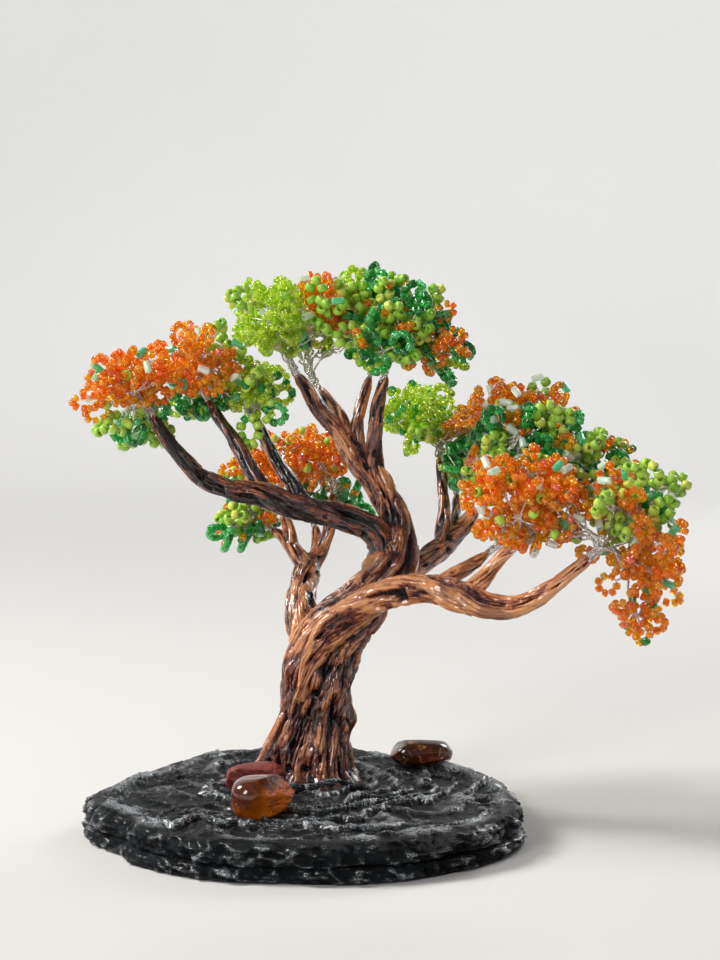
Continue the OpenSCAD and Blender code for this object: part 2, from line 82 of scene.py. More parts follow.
class Shader:
    def __init__(self, name, owners=bpy.data.materials):
        self.owner = owners.new(name)
        self.owner.use_nodes = True
        self.tree = self.owner.node_tree
        self.tree.nodes.clear()

    def node(self, kind, settings=None, sockets=None, out=0):
        made = self.tree.nodes.new(kind)
        for key, value in (settings or {}).items():
            if key == "stops":
                ramp = made.color_ramp.elements
                while len(ramp) < len(value):
                    ramp.new(0.5)
                for stop, (place, shade) in zip(ramp, value):
                    stop.position, stop.color = place, (*shade, 1)
            else:
                setattr(made, key, value)
        for key, value in (sockets or {}).items():
            if isinstance(value, Socket):
                self.tree.links.new(value.out, made.inputs[key])
            else:
                made.inputs[key].default_value = value
        return Socket(self, made.outputs[out]) if len(made.outputs) else None

    def place(self):
        return self.node("ShaderNodeTexCoord", out="Object")

    def noise(self, size, detail=3.0, rough=0.55, where=None):
        return self.node("ShaderNodeTexNoise", {}, {
            "Vector": where or self.place(), "Scale": 1 / size, "Detail": detail, "Roughness": rough})

    def value(self, name, out="Fac"):  # carried by the mesh
        return self.node("ShaderNodeAttribute", {"attribute_name": name}, out=out)

    def mix(self, share, a, b):
        def full(c):
            return c if isinstance(c, Socket) else (*c, 1)
        return self.node("ShaderNodeMix", {"data_type": "RGBA"}, {0: share, 6: full(a), 7: full(b)}, out=2)

    def band(self, value, low, high):
        return self.node("ShaderNodeMapRange", {"interpolation_type": "SMOOTHSTEP"},
                         {"Value": value, "From Min": low, "From Max": high})

    def bump(self, height, strength, distance):
        return self.node("ShaderNodeBump", {}, {
            "Height": height, "Strength": strength, "Distance": distance})

    def finish(self, lampTint=None, **sockets):
        body = self.node("ShaderNodeBsdfPrincipled", {}, {
            key.replace("_", " "): value for key, value in sockets.items()})
        if lampTint:  # clear glass tints the lamps' light and lets it through
            lamp = self.node("ShaderNodeLightPath", out="Is Shadow Ray")
            clear = self.node("ShaderNodeBsdfTransparent", {}, {"Color": (*lampTint, 1)})
            body = self.node("ShaderNodeMixShader", {}, {0: lamp * lampShare, 1: body, 2: clear})
        self.node("ShaderNodeOutputMaterial", {}, {"Surface": body})
        return self.owner


# meshes from arrays


def addObject(name, data):
    made = bpy.data.objects.new(name, data)
    bpy.context.scene.collection.objects.link(made)
    return made


def addPiece(name, verts, faces, material, values=None):
    mesh = bpy.data.meshes.new(name)
    faces = faces if isinstance(faces, list) else faces.tolist()
    mesh.from_pydata(np.asarray(verts).tolist(), [], faces)
    for key, data in (values or {}).items():
        data = np.asarray(data, np.float32)
        kind, field = ("FLOAT", "value") if data.ndim == 1 else ("FLOAT_VECTOR", "vector")
        mesh.attributes.new(key, kind, "POINT").data.foreach_set(field, data.ravel())
    mesh.polygons.foreach_set("use_smooth", np.ones(len(mesh.polygons), bool))
    mesh.materials.append(material)
    mesh.update()
    return addObject(name, mesh)


def standFor(piece, slot, *nodes):
    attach(piece, "root")
    if nodes:
        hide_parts(*nodes)


def gridFaces(rows, around, start=0):
    i, j = np.meshgrid(np.arange(rows - 1), np.arange(around), indexing="ij")
    k = (j + 1) % around
    a = start + i * around
    return np.stack([a + j, a + k, a + around + k, a + around + j], -1).reshape(-1, 4)


def tubeFaces(rows, around, first, last):  # a tube that closes on a point at each end
    faces = gridFaces(rows, around).tolist()
    end = (rows - 1) * around
    faces += [[first, (j + 1) % around, j] for j in range(around)]
    return faces + [[last, end + j, end + (j + 1) % around] for j in range(around)]


def bearings(count):
    return np.linspace(0, math.tau, count, endpoint=False)


def norms(v):
    return np.linalg.norm(v, axis=-1)


def unit(v):
    return v / np.maximum(np.linalg.norm(v, axis=-1, keepdims=True), 1e-12)


def streak(u, v, cells, seed):  # smooth noise that wraps once round in u
    lattice = np.random.default_rng(seed).random((64, cells))
    x, y = (u % 1) * cells, v % 64
    i, j = np.floor(x).astype(int), np.floor(y).astype(int)
    fx, fy = x - i, y - j
    fx, fy = fx * fx * (3 - 2 * fx), fy * fy * (3 - 2 * fy)
    i, j = i % cells, j % 64
    k, l = (i + 1) % cells, (j + 1) % 64
    return ((lattice[j, i] * (1 - fx) + lattice[j, k] * fx) * (1 - fy)
            + (lattice[l, i] * (1 - fx) + lattice[l, k] * fx) * fy)


def held(v):  # between 0 and 1
    return np.clip(v, 0, 1)


def ridged(n):
    return 1 - np.abs(2 * n - 1)


def smoothRoute(points, step):
    p = np.array(points, float)
    before, after = 2 * p[0] - p[1], 2 * p[-1] - p[-2]
    q = np.vstack([before, p, after])
    t = np.linspace(0, 1, 24, endpoint=False)[:, None]
    parts = []
    for a, b, c, d in zip(q[:-3], q[1:-2], q[2:-1], q[3:]):
        parts.append(0.5 * (2 * b + (c - a) * t + (2 * a - 5 * b + 4 * c - d) * t * t
                            + (3 * b - a - 3 * c + d) * t ** 3))
    dense = np.vstack(parts + [p[-1:]])
    run = np.append(0, np.cumsum(norms(np.diff(dense[:, :3], axis=0))))
    even = np.linspace(0, run[-1], max(4, int(run[-1] / step) + 1))
    return np.stack([np.interp(even, run, dense[:, i]) for i in range(dense.shape[1])], 1), even


def framesAlong(path, first=(1, 0, 0)):
    ahead = unit(np.gradient(path, axis=0))
    side = np.zeros_like(path)
    now = np.array(first, float)
    for i, t in enumerate(ahead):
        now = now - t * (now @ t)
        now = now / np.linalg.norm(now)
        side[i] = now
    return ahead, side, np.cross(ahead, side)


# clay bark: routes give x, y, z and radius in millimetres, as the part's source does

trunkRoute = [(1.5, 15, 8.6, 13.2), (1.5, 15, 10, 12.6), (1.5, 15, 14, 10.8), (1.7, 14.8, 22, 9.4),
              (3, 14, 33, 8.9), (4.5, 12.5, 43, 9.2), (8, 10.5, 51.5, 8.4), (15.5, 9, 59.5, 6.5),
              (22.5, 8.5, 67.5, 5.2)]
limbRoutes = {
    "top": [
        (19, 8.7, 63, 4.2), (23.5, 8.5, 70, 5), (25.2, 9.5, 77.5, 4.3), (23.5, 11.5, 86, 3.5),
        (19.5, 12.8, 93.5, 3.5), (14, 13.8, 100.5, 3.4), (9.3, 14, 107, 2.7), (3.5, 12, 114, 2.1),
        (0.6, 10, 119, 1.7), (-2, 8, 123, 1.4)],
    "left": [
        (20, 8.6, 64.5, 3), (22.3, 8, 71, 3.4), (20.5, 7.5, 78.5, 3.4), (15, 6.5, 82.5, 3.3),
        (9.3, 5, 84.5, 3.1), (-1, 3, 87, 3), (-11.3, 2, 90.5, 2.9), (-19, 1, 91.8, 2.6),
        (-27.6, 0, 96, 2.2), (-34.5, 0, 103, 1.8), (-40.3, 0, 112, 1.4)],
    "right": [
        (-1.5, 5.8, 34, 1.2), (1.2, 4.6, 44, 2.6), (5.5, 3.6, 51.5, 3.4), (11.5, 2.4, 57, 3.7),
        (18.8, -0.5, 62, 3.6), (26.5, -4, 65.5, 3.5), (33, -8, 66.6, 3.4), (42.5, -14, 65, 3.5),
        (49, -18, 63.2, 2.8), (56.7, -20, 63.8, 2.4), (64.5, -22, 68.5, 1.9), (74, -25, 77.2, 1.4)],
    "rear_right": [
        (18.5, 9, 64, 2.6), (24, 11, 66.5, 3.2), (29.5, 15, 69, 3), (35.4, 20, 72, 2.8),
        (41, 26, 75.8, 2.5), (45.5, 30, 79.5, 2), (48.9, 34.2, 85.4, 1.4)],
    "rear_left": [
        (4.5, 13, 40, 3), (1.8, 16.5, 48, 4.7), (-0.8, 21.5, 56, 4.2), (-0.8, 28, 62, 3.5),
        (0.8, 33, 67.5, 2.9), (4, 36, 71, 2), (6.3, 38.5, 76.5, 1.7), (7.5, 42, 87, 1.4)]}
twigRoutes = {
    "top": [[(13, 13.9, 102, 1.6), (10.5, 15, 109.5, 1.7), (7.6, 17, 114.2, 1.5), (4.2, 19.6, 118.6, 1.2)],
            [(15.5, 13.6, 98.5, 1.7), (14.6, 15, 106, 1.8), (15.4, 17.3, 113, 1.5), (18, 19.8, 121.5, 1.2)],
            [(20.5, 12.5, 92, 1.8), (19.2, 11.6, 101, 1.9), (19.8, 10, 112, 1.6), (22, 8, 122.6, 1.2)]],
    "left": [[(-9, 2.5, 89.5, 1.8), (-13.5, 4, 96, 1.9), (-17.7, 6, 103, 1.7), (-22.4, 8, 109.5, 1.5),
              (-26.1, 10, 115.6, 1.2)],
             [(1.5, 3.3, 86.5, 1.7), (-3.5, 5.5, 94, 1.8), (-7.8, 8, 100, 1.6), (-11.7, 11, 107, 1.4),
              (-13.9, 13, 110.8, 1.2)]],
    "right": [[(41, -13.2, 65.2, 1.8), (47, -14, 69.5, 2), (52, -16, 76, 1.6), (55.3, -18, 78.4, 1.2)],
              [(35, -9, 66.2, 1.7), (40, -8, 70, 1.9), (46.2, -5, 73.2, 1.5), (49.4, -2.2, 75.2, 1.2)]],
    "rear_right": [[(38, 23, 74, 1.6), (39, 28, 80, 1.8), (39, 33, 87.5, 1.5), (38.2, 39.6, 98, 1.2)],
                   [(42, 27, 76.5, 1.4), (42.6, 32, 80.5, 1.4), (43, 36, 83, 1.3), (43.2, 39.5, 87, 1.2)]],
    "rear_left": [[(0.4, 32, 66.5, 2), (-3, 34, 71, 2), (-6, 37, 74.5, 1.7), (-10, 39.8, 77, 1.2)],
                  [(-4.5, 35.5, 72.8, 1.5), (-5, 37.5, 76.5, 1.5), (-6, 39.3, 79.5, 1.4),
                   (-7, 41, 82.5, 1.2)],
                  [(2.4, 34.6, 69.2, 1.5), (3, 38, 71.5, 1.5), (2.8, 41, 74, 1.3), (2.4, 43.6, 77.5, 1.2)]]}

bark = {
    "groove": (0.005, 0.002, 0.002), "umber": (0.060, 0.012, 0.008), "copper": (0.27, 0.054, 0.021),
    "gold": (0.80, 0.33, 0.12), "plum": (0.055, 0.011, 0.014), "varnish": 0.95, "varnishRough": 0.1,
    "varnishIor": 1.65, "shine": 0.32, "rough": 0.26, "darkBelow": 14, "paleAbove": 56, "bump": 0.55,
    "speck": 0.8, "fibre": 0.42, "haze": 8, "strandWidth": 2.7, "strandLift": 0.66, "fibreWidth": 1.1,
    "hairWidth": 0.5, "gougeWidth": 1.2, "fibreDepth": 0.8, "grainPull": 0.13}


def turnGap(turn, at):  # the short way round, in turns
    return (turn - at + 0.5) % 1 - 0.5


def varnishedBark():
    s = Shader("varnishedBark")
    crest, patch = s.value("crest"), s.value("patch")
    speck = s.noise(bark["speck"] * mm, 4, 0.65)
    fibre = s.noise(bark["fibre"] * mm, 3, 0.6, s.value("grain", "Vector"))
    height = s.node("ShaderNodeSeparateXYZ", {}, {0: s.place()}, out="Z")
    high = s.band(height, bark["darkBelow"] * mm, bark["paleAbove"] * mm)
    # the patches carry random stains and each limb's tone, which on the right limb is painted light from
    # above
    stainAndLimbLight = (speck - 0.5) * 0.7 + (fibre - 0.5) + (patch - 0.5) * 0.55
    tone = (crest * 1.1 - 0.2 + high * 0.2 + stainAndLimbLight).clamp()
    shade = s.node("ShaderNodeValToRGB", {"stops": [
        (0.24, bark["groove"]), (0.42, bark["umber"]), (0.64, bark["copper"]),
        (0.98, bark["gold"])]}, {"Fac": tone})
    haze = s.band(s.noise(bark["haze"] * mm, 2), 0.5, 0.66)
    colour = s.mix(haze * 0.5, shade, bark["plum"])
    grain = s.noise(0.3 * mm, 3) * 0.3 + speck * 0.6 + fibre
    return s.finish(
        Base_Color=colour, Roughness=(bark["rough"] - crest * 0.1 + (speck - 0.5) * 0.3).clamp(),
        Coat_Weight=s.band(crest + (fibre - 0.5) * 0.5, 0.2, 0.55) * bark["varnish"],
        Coat_Roughness=bark["varnishRough"], Coat_IOR=bark["varnishIor"],
        Specular_IOR_Level=bark["shine"], Normal=s.bump(grain, 1.0, bark["bump"] * mm))


def barkSkin(name, route, node, seed, step, around, twist, rootFlare=0.0, raggedEnd=False,
             lobes=(), knots=(), pale=0.0):
    path, run = smoothRoute(route, step)
    radius = path[:, 3].copy()
    path = path[:, :3]
    ahead, side, up = framesAlong(path)
    n = len(path)
    rng = np.random.default_rng(seed)
    turn = np.linspace(0, 1, around, endpoint=False)[None, :]
    along = run[:, None]
    if rootFlare:  # widens where a branch leaves its host
        radius = radius * (1 + rootFlare * np.exp(-((run / (2.2 * radius[0])) ** 2)))
    r = radius[:, None]
    girth = math.tau * r
    count = max(5, int(girth.mean() / bark["strandWidth"]))
    tall, depth = np.zeros((n, around)), np.zeros((n, around))
    for i in range(count):  # ropes of clay laid side by side
        sway = (streak((i + 0.5) / count, along / 14 + 5 * rng.random(), 7, seed + i) - 0.5) * 2.2 / count
        at = (i + rng.uniform(-0.2, 0.2)) / count + twist * along + sway
        half = girth / count * rng.uniform(0.5, 0.86)
        half = half * (1 + 0.35 * np.sin(along / rng.uniform(5, 11) + 9 * rng.random()))
        gap = turnGap(turn, at) * girth / half
        dome = np.sqrt(held(1 - gap * gap))
        rise = np.minimum(bark["strandLift"] * half, 0.3 * r) * rng.uniform(0.75, 1.1)
        higher = dome * rise > tall
        tall = np.where(higher, dome * rise, tall)
        depth = np.where(higher, dome, depth)
    u = turn - twist * along

    def billow(width, length, salt):  # broad backs with sharp cracks between
        cells = max(6, int(girth.mean() / width))
        wander = u + 0.25 / cells * np.sin(along / 3.1 + salt)
        return held(np.abs(2 * streak(wander, along / length, cells, seed + salt) - 1) * 1.7)
    fibre, hair = billow(bark["fibreWidth"], 8, 31), billow(bark["hairWidth"], 3.6, 32)
    knob = streak(u, along / 5.5, 4, seed + 33)
    patch = streak(u, along / 7, 5, seed + 34) * 0.6 + streak(u, along / 2.6, 11, seed + 35) * 0.4
    cuts = max(6, int(girth.mean() / bark["gougeWidth"]))
    gouge = held((streak(u, along / 3.2, cuts, seed + 36) - 0.74) / 0.14)
    fibreDepth = np.minimum(0.16 * r, bark["fibreDepth"])
    lift = (tall - 0.62 * tall.mean() + fibreDepth * (fibre - 0.5) + 0.5 * fibreDepth * (hair - 0.5)
            + 0.2 * r * (knob - 0.5) - 1.5 * fibreDepth * gouge)
    crest = 0.42 * depth ** 1.5 + 0.33 * fibre + 0.24 * hair - 0.45 * gouge
    if lobes:  # the ropes fade out at the foot
        lift = lift * held(0.3 + along / 9)
    for at, width, reach, high in lobes:  # roots that spread at the foot, and the groove between them
        gap = turnGap(turn, at)
        lift = lift + reach * np.exp(-((gap / width) ** 2)) * np.exp(-np.maximum(along - 1.4, 0) / high)
    for at, height, width, reach in knots:  # swellings on the side
        gap = turnGap(turn, at) * girth
        lift = lift + reach * np.exp(-((gap / width) ** 2) - ((along - height) / width) ** 2)
    shell = r + lift
    if raggedEnd:  # the clay thins out unevenly over the wires
        left = run[-1] - along
        thin = held(left / (1.2 + 2.2 * streak(turn, 0, 6, seed + 37)))
        shell = shell * (0.42 + 0.58 * np.sqrt(thin))
    angle = math.tau * turn[..., None]
    ring = path[:, None] + shell[..., None] * (np.cos(angle) * side[:, None] + np.sin(angle) * up[:, None])
    verts = np.vstack([ring.reshape(-1, 3), path[:1] - ahead[:1] * 0.2, path[-1:] + ahead[-1:] * 0.25])
    faces = tubeFaces(n, around, n * around, n * around + 1)
    crest = np.append(held(crest), [0.2, 0.3])
    # each limb's tone rides on the patches: painted light on the right limb, which is lit from above
    patch = np.append(pale + np.broadcast_to(patch, depth.shape), [0, 0])
    bearing = math.tau * u
    grain = np.stack([r * np.cos(bearing), r * np.sin(bearing), along * bark["grainPull"] + 0 * u], -1)
    grain = grain.reshape(-1, 3) * mm
    grain = np.vstack([grain, grain[:2]])
    piece = addPiece(name, verts * mm, faces, barkFinish, {"crest": crest, "patch": patch, "grain": grain})
    standFor(piece, "bark_clay", node)


barkFinish = varnishedBark()
# roots, and one groove: place in turns, width, reach and height
trunkRoots = [(0.53, 0.05, 13, 4.2), (0.81, 0.05, 2.4, 4), (0.66, 0.05, 2.6, 5), (0.92, 0.06, 1.8, 5),
              (0.735, 0.018, -2.0, 12), (0.08, 0.06, 2.0, 5), (0.28, 0.07, 2.4, 6), (0.42, 0.05, 2.0, 5)]
# swellings: place in turns, height along the trunk, width and reach
trunkKnots = [(0.0, 19.5, 3.0, 1.8), (0.5, 27, 3.2, 1.2), (0.62, 12, 2.6, 0.9), (0.88, 31, 3.0, 1.0)]
barkSkin("trunkBark", trunkRoute, "trunk_bark", 11, 0.32, 400, 0.0016, lobes=trunkRoots, knots=trunkKnots)
# how much paler than the trunk each limb is: the right limb's paleness is painted light where it is lit
# from above; the left limb is darker
limbLightTones = {"top": -0.1, "left": -0.6, "right": 0.5, "rear_right": -0.1, "rear_left": 0.0}
for order, (limb, route) in enumerate(limbRoutes.items()):
    barkSkin(limb + "LimbBark", route, limb + "_limb_bark", 140 + 60 * order, 0.34, 140, 0.006, 0.3, True,
             pale=limbLightTones[limb])
    for number, twig in enumerate(twigRoutes[limb]):
        barkSkin(f"{limb}Twig{number + 1}Bark", twig, f"{limb}_twig_{number + 1}_bark",
                 1300 + 150 * order + 40 * number, 0.3, 80, 0.01, 0.35, True, pale=limbLightTones[limb])
print("bark modelled")

# slab and coat

slab = {
    "black": (0.003, 0.004, 0.005), "slate": (0.012, 0.015, 0.018), "silver": (0.42, 0.46, 0.49),
    "rough": 0.32, "shine": 0.14, "gloss": 0.9, "glossRough": 0.22, "bump": 0.7, "stroke": 5.4,
    "strokeLift": 3.4, "lumpLift": 2.0, "gritLift": 0.3, "collar": 13.5, "collarLift": 0.5,
    "tornLift": 1.1, "around": 620, "rimRings": 26, "topRings": 122, "coat": 5.5, "sag": 3.0,
    "foot": (1.5, 15.0)}


def nodePoints(name):
    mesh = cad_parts[name].data
    co = np.empty(len(mesh.vertices) * 3)
    mesh.vertices.foreach_get("co", co)
    return co.reshape(-1, 3) / mm


def rimRadius(angles):  # the slab's outline as a smooth radius by bearing
    points = nodePoints("base_slab")
    edge = points[np.abs(points[:, 2] - 1) < 0.1]
    bearing = np.arctan2(edge[:, 1], edge[:, 0])
    order = np.argsort(bearing)
    keep = np.append(True, np.diff(bearing[order]) > 1e-3)
    bearing, far = bearing[order][keep], np.hypot(edge[:, 0], edge[:, 1])[order][keep]
    fine = np.interp(angles, np.concatenate([bearing - math.tau, bearing, bearing + math.tau]),
                     np.tile(far, 3))
    soft = np.exp(-((np.arange(-14, 15) / 6.0) ** 2))
    return np.convolve(np.concatenate([fine[-14:], fine, fine[:14]]), soft / soft.sum(), "valid")


def fieldNoise(x, y, size, seed):
    return streak(x / size / 64 + 0.5, y / size + 32, 64, seed)


def coatRelief(x, y):  # paste dragged round the trunk with a knife, lumps and grit, in millimetres
    fx, fy = slab["foot"]
    far, bearing = np.hypot(x - fx, y - fy), np.arctan2(y - fy, x - fx) / math.tau
    warp = (16 * (fieldNoise(x, y, 21, 71) - 0.5) + 7 * (fieldNoise(x, y, 8, 72) - 0.5)
            + 2.6 * (fieldNoise(x, y, 2.6, 70) - 0.5))
    phase = (far + warp) / slab["stroke"]
    lane = np.floor(phase)
    saw = phase - lane
    push = held((streak(bearing, lane * 7.3, 9, 73) - 0.42) / 0.4)
    stroke = saw ** 2.2 * held((1 - saw) / 0.16) * push
    thin = ridged(streak(bearing, phase * 4.3, 22, 74)) ** 1.5
    lump = fieldNoise(x, y, 7, 75) * fieldNoise(x, y, 12, 76)
    collar = np.exp(-((far - slab["collar"]) / 3.0) ** 2)
    torn = ridged(fieldNoise(x + warp, y - warp, 5, 77)) ** 4
    grit = fieldNoise(x, y, 1.0, 78) + 0.6 * fieldNoise(x, y, 0.6, 79)
    torn = torn * (1 - push)
    lift = (slab["strokeLift"] * (stroke - 0.15) + 0.35 * (thin - 0.4)
            + slab["lumpLift"] * (lump - 0.3) + slab["tornLift"] * torn
            + slab["gritLift"] * (grit - 0.8) + slab["collarLift"] * collar)
    crest = 1.15 * stroke + 0.2 * thin + 0.45 * torn + 0.25 * (grit - 0.5)
    return lift, held(crest)


def brushedBlack(name):
    s = Shader(name)
    crest = s.value("crest")
    fleck = s.noise(0.42 * mm, 4, 0.8)
    drag = s.noise(0.55 * mm, 4, 0.7, s.value("drag", "Vector"))
    cloud = s.noise(9 * mm, 3)
    worn = crest + (fleck - 0.5) * 2.6 + (drag - 0.5) * 1.6 + (cloud - 0.5) * 0.6
    dryBrush = s.band(worn, 0.66, 1.04)
    body = s.mix(s.band(s.noise(5 * mm, 3), 0.35, 0.7), slab["black"], slab["slate"])
    grit = s.noise(0.4 * mm, 4, 0.7) * 0.6 + drag
    return s.finish(
        Base_Color=s.mix(dryBrush * 0.9, body, slab["silver"]),
        Roughness=(slab["rough"] + (fleck - 0.5) * 0.35 - dryBrush * 0.06).clamp(),
        Metallic=dryBrush * 0.3, Specular_IOR_Level=slab["shine"],
        Coat_Weight=s.band(crest + (drag - 0.5) * 1.2, 0.3, 0.7) * slab["gloss"],
        Coat_Roughness=slab["glossRough"], Normal=s.bump(grit, 1.0, slab["bump"] * mm))


def slabLayer(name, node, profile, topRings, seed, relief, sag=0.0):
    around = slab["around"]
    angles = np.linspace(-math.pi, math.pi, around, endpoint=False)
    rim = rimRadius(angles)
    turn = angles / math.tau + 0.5
    marks = np.array(profile, float)
    run = np.append(0, np.cumsum(np.hypot(np.diff(marks[:, 0]), np.diff(marks[:, 1]))))
    rings, crest = [], []
    for at in np.linspace(0, run[-1], slab["rimRings"]):
        z, inset, rough = (np.interp(at, run, marks[:, i]) for i in range(3))
        lump = streak(turn, z / 3.4 + seed, 62, seed + 1) - 0.5
        drip = ridged(streak(turn + 0.004 * z, z / 1.5 + seed, 120, seed + 2)) - 0.6
        grain = streak(turn, z / 0.8 + seed, 300, seed + 3) - 0.5
        far = rim - inset + rough * (2.6 * lump + 1.6 * drip + 1.2 * grain)
        drop = rough * 0.8 * (streak(turn, z / 2, 50, seed + 4) - 0.5)
        drop = drop - sag * rough * np.exp(-(z - marks[0, 0])) * streak(turn, 3, 30, seed + 6)
        rings.append(np.stack([far * np.cos(angles), far * np.sin(angles), z + drop], 1))
        crest.append(held(0.27 + 0.7 * lump + 0.8 * drip + 0.7 * grain) * min(1, rough * 1.4))
    edge = rings[-1]
    for share in np.linspace(1, 0, topRings + 1)[1:-1]:
        flat = edge * share
        flat[:, 2] = edge[:, 2]
        mark = 0 * turn
        if relief:
            lift, mark = coatRelief(flat[:, 0], flat[:, 1])
            blend = min(1.0, (1 - share) * 14)
            lip = 1.1 * math.exp(-(((1 - share) * 20 - 1) ** 2)) * streak(turn, 7, 56, seed + 5)
            flat[:, 2] = edge[:, 2] * (1 - blend) + blend * (coatTop + lift) + lip
            mark = held(mark * blend + lip * 0.7)
        rings.append(flat)
        crest.append(mark)
    verts = np.vstack(rings + [[[0, 0, rings[-1][:, 2].mean()]], [[0, 0, profile[0][0]]]])
    n = len(rings)
    faces = tubeFaces(n, around, n * around + 1, n * around)
    off = verts - [*slab["foot"], 0]
    far = np.hypot(off[:, 0], off[:, 1])
    bearing = np.arctan2(off[:, 1], off[:, 0])
    drag = np.stack([far, 4 * np.cos(bearing) + off[:, 2], 4 * np.sin(bearing)], 1) * mm
    values = {"crest": np.concatenate(crest + [[0.2, 0.0]]), "drag": drag}
    piece = addPiece(name, verts * mm, faces, brushedBlack(name + "Black"), values)
    standFor(piece, "base_black", node)


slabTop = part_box("base_slab")[1].z / mm
coatTop = slabTop + slab["coat"]
# rims: height, inset from the outline and roughness
slabRim = [(0, 1.6, 0.0), (0.3, 0.8, 0.4), (1.2, 0.3, 0.8), (2.4, 0.1, 0.9), (3.4, 0.6, 0.8),
           (slabTop - 0.5, 1.8, 0.5), (slabTop + 0.1, 4.5, 0.2), (slabTop + 0.2, 6, 0.0)]
coatRim = [(slabTop - 0.2, 6, 0.0), (slabTop, 3.4, 0.3), (slabTop + 0.3, 1.9, 0.6),
           (slabTop + 1.1, 0.9, 0.9), (slabTop + 2.4, 0.6, 1.0),
           (slabTop + 3.8, 0.8, 1.0), (slabTop + 4.7, 1.5, 0.8), (coatTop - 0.2, 2.6, 0.5)]
slabLayer("baseSlab", "base_slab", slabRim, 4, 21, False)
slabLayer("baseCoat", "base_coat", coatRim, slab["topRings"], 31, True, slab["sag"])
print("slab and coat modelled")

# amber pebbles

amberLooks = {  # box power of the form, broken faces, growth against the frame's pebble, and the look
    "stone_front": {
        "piece": "amberFront", "slot": "amber_orange", "seed": 5, "power": 3.0, "cuts": 16,
        "grow": (1.05, 1, 1.2), "split": 0.1, "lean": (1.5, -0.3, -0.9), "start": 0.28,
        "deep": (0.13, 0.026, 0.006), "glow": (1, 0.22, 0.002), "crust": (0.16, 0.045, 0.008),
        "rough": (0.06, 0.18), "clear": 0.3},
    "stone_red": {
        "piece": "amberRed", "slot": "amber_red", "seed": 8, "power": 3.4, "cuts": 5,
        "grow": (1, 1, 1.2), "split": -2, "lean": (0, 0, -0.3), "start": 0.1,
        "deep": (0.13, 0.009, 0.006), "glow": (0.42, 0.04, 0.012), "crust": (0.42, 0.055, 0.028),
        "rough": (0.28, 0.5), "clear": 0.1},
    "stone_rear": {
        "piece": "amberRear", "slot": "amber_brown", "seed": 14, "power": 2.5, "cuts": 4,
        "grow": (1, 1, 1.1), "split": 2, "lean": (0.7, 0, -0.5), "start": -0.2,
        "deep": (0.03, 0.01, 0.006), "glow": (0.36, 0.055, 0.010), "crust": (0.05, 0.015, 0.006),
        "vein": (0.80, 0.42, 0.08), "veins": 0.8, "rough": (0.03, 0.1), "clear": 0.5}}

amber = {"ior": 1.54, "coat": 0.4, "coatRough": 0.08, "glow": 0.06, "bump": 0.6,
         "glowRadius": (3 * mm, 1 * mm, 0.2 * mm), "rows": 90, "around": 150, "edge": 60, "flat": 0.86,
         "sink": 0.5}


def amberFinish(look):
    s = Shader(look["piece"] + "Amber")
    skin, low = s.value("skin"), s.value("low")
    cloud = s.noise(5 * mm, 3, 0.6)
    fleck = s.noise(0.7 * mm, 4, 0.7)
    # the glow colour, raised towards the lower side, is painted light shining through the amber, partly the
    # amber's own orange
    bodyAndGlow = s.mix((s.band(cloud, 0.48, 0.7) * 0.35 + low).clamp(), look["deep"], look["glow"])
    if "vein" in look:  # pale threads inside
        wave = s.noise(5.5 * mm, 2, 0.6)
        thread = s.band(wave, 0.485, 0.5) * (1 - s.band(wave, 0.505, 0.52)) * s.band(cloud, 0.47, 0.58)
        bodyAndGlow = s.mix(thread * look["veins"], bodyAndGlow, look["vein"])
    colour = s.mix(skin * s.band(fleck, 0.35, 0.65) * (1 - low * 0.8) * 0.85, bodyAndGlow, look["crust"])
    smooth, coarse = look["rough"]
    return s.finish(
        Base_Color=colour,
        Roughness=(smooth + skin * (coarse - smooth) + (fleck - 0.5) * 0.1 * skin).clamp(),
        Transmission_Weight=look["clear"], IOR=amber["ior"],
        Coat_Weight=(1 - skin * 0.7) * amber["coat"], Coat_Roughness=amber["coatRough"],
        Subsurface_Weight=amber["glow"], Subsurface_Radius=amber["glowRadius"], Subsurface_Scale=1.0,
        Normal=s.bump(fleck * skin + cloud * 0.2, 0.8, amber["bump"] * mm))


def weldPoles(piece):  # the first and last rings are single points
    work = bmesh.new()
    work.from_mesh(piece.data)
    bmesh.ops.remove_doubles(work, verts=work.verts, dist=0.002 * mm)
    bmesh.ops.recalc_face_normals(work, faces=work.faces)
    work.to_mesh(piece.data)
    work.free()


